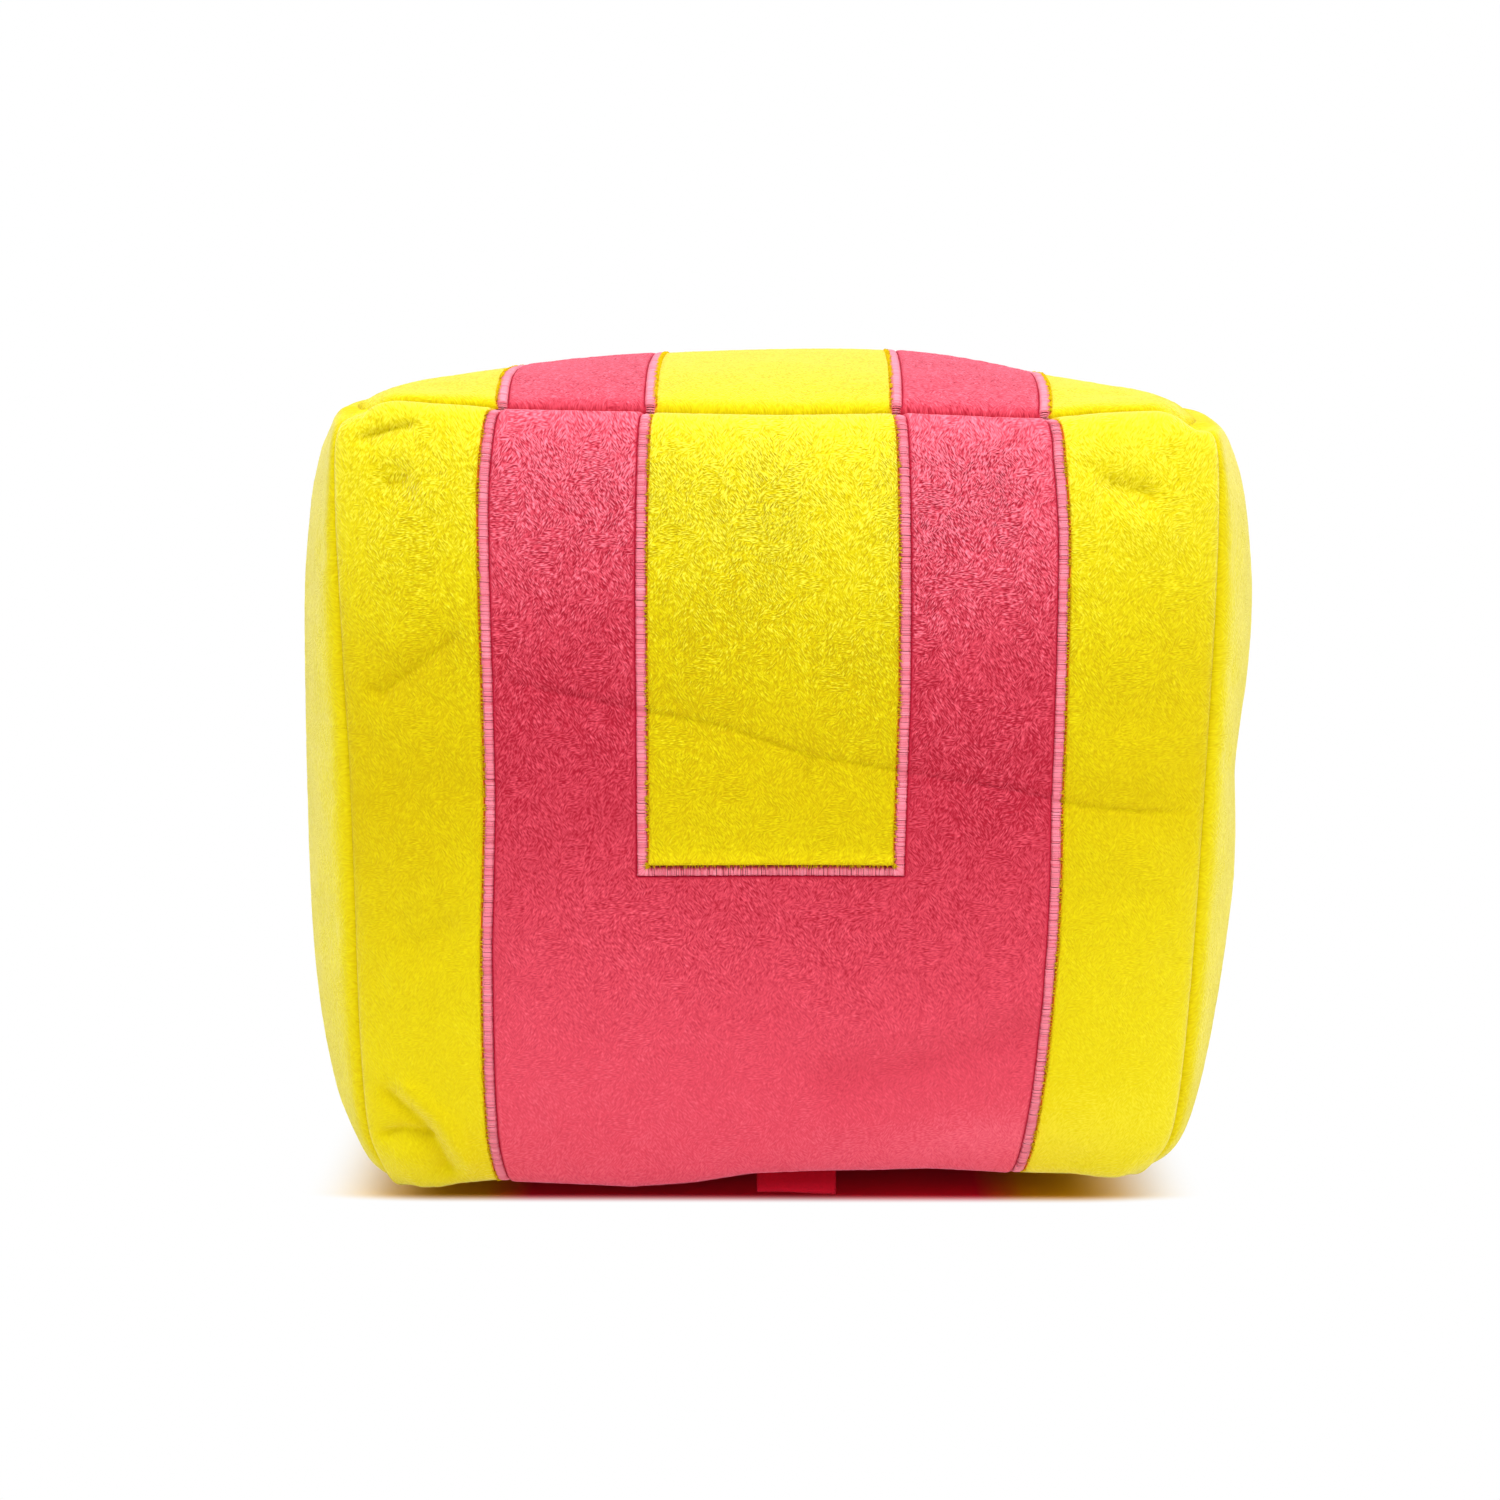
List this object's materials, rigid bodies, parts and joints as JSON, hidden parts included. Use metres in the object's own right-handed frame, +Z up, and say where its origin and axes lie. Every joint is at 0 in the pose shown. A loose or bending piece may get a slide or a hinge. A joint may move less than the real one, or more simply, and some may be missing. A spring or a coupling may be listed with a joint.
{
  "type": "soft fabric block",
  "caption": "Stuffed plush cube for a baby, with puffed sewn panels, pink stripes edged in satin stitch and a ribbon tab at the foot.",
  "frame": {"origin": "middle of the block's footprint on the surface that it stands on, at the underside of the pink band", "axes": "+Z up, -Y out of the front with the pink U, +X to the right as seen from the front"},
  "size_m": [0.2188, 0.2216, 0.1887],
  "materials": {
    "yellow_plush": "short-pile plush, bright yellow",
    "pink_plush": "short-pile plush, coral pink",
    "satin_stitch": "rayon satin stitch, light pink, with the thread's sheen",
    "seam_thread": "spun polyester sewing thread, yellow",
    "red_ribbon": "woven satin ribbon, red",
    "polyester_fill": "white polyester fibre filling"
  },
  "bodies": {
    "root": {"stuffing": "polyester_fill", "front_panel": "yellow_plush", "right_panel": "yellow_plush", "back_panel": "yellow_plush", "left_panel": "yellow_plush", "top_panel": "yellow_plush", "bottom_panel": "yellow_plush", "front_applique": "pink_plush", "back_applique": "pink_plush", "top_stripe_left": "pink_plush", "top_stripe_right": "pink_plush", "bottom_band": "pink_plush", "front_border_left": "satin_stitch", "front_border_right": "satin_stitch", "front_border_inner": "satin_stitch", "back_border_left": "satin_stitch", "back_border_right": "satin_stitch", "back_border_inner": "satin_stitch", "top_border_left_outer": "satin_stitch", "top_border_left_inner": "satin_stitch", "top_border_right_outer": "satin_stitch", "top_border_right_inner": "satin_stitch", "bottom_border_left": "satin_stitch", "bottom_border_right": "satin_stitch", "label_tab": "red_ribbon", "seam_thread_front_top": "seam_thread", "seam_thread_left_top": "seam_thread", "seam_thread_right_top": "seam_thread", "seam_thread_back_top": "seam_thread", "seam_thread_front_foot": "seam_thread", "seam_thread_left_foot": "seam_thread", "seam_thread_right_foot": "seam_thread", "seam_thread_back_foot_left": "seam_thread", "seam_thread_back_foot_right": "seam_thread", "closing_thread": "seam_thread", "seam_thread_front_left": "seam_thread", "seam_thread_front_right": "seam_thread", "seam_thread_back_left": "seam_thread", "seam_thread_back_right": "seam_thread"}
  },
  "joints": []
}
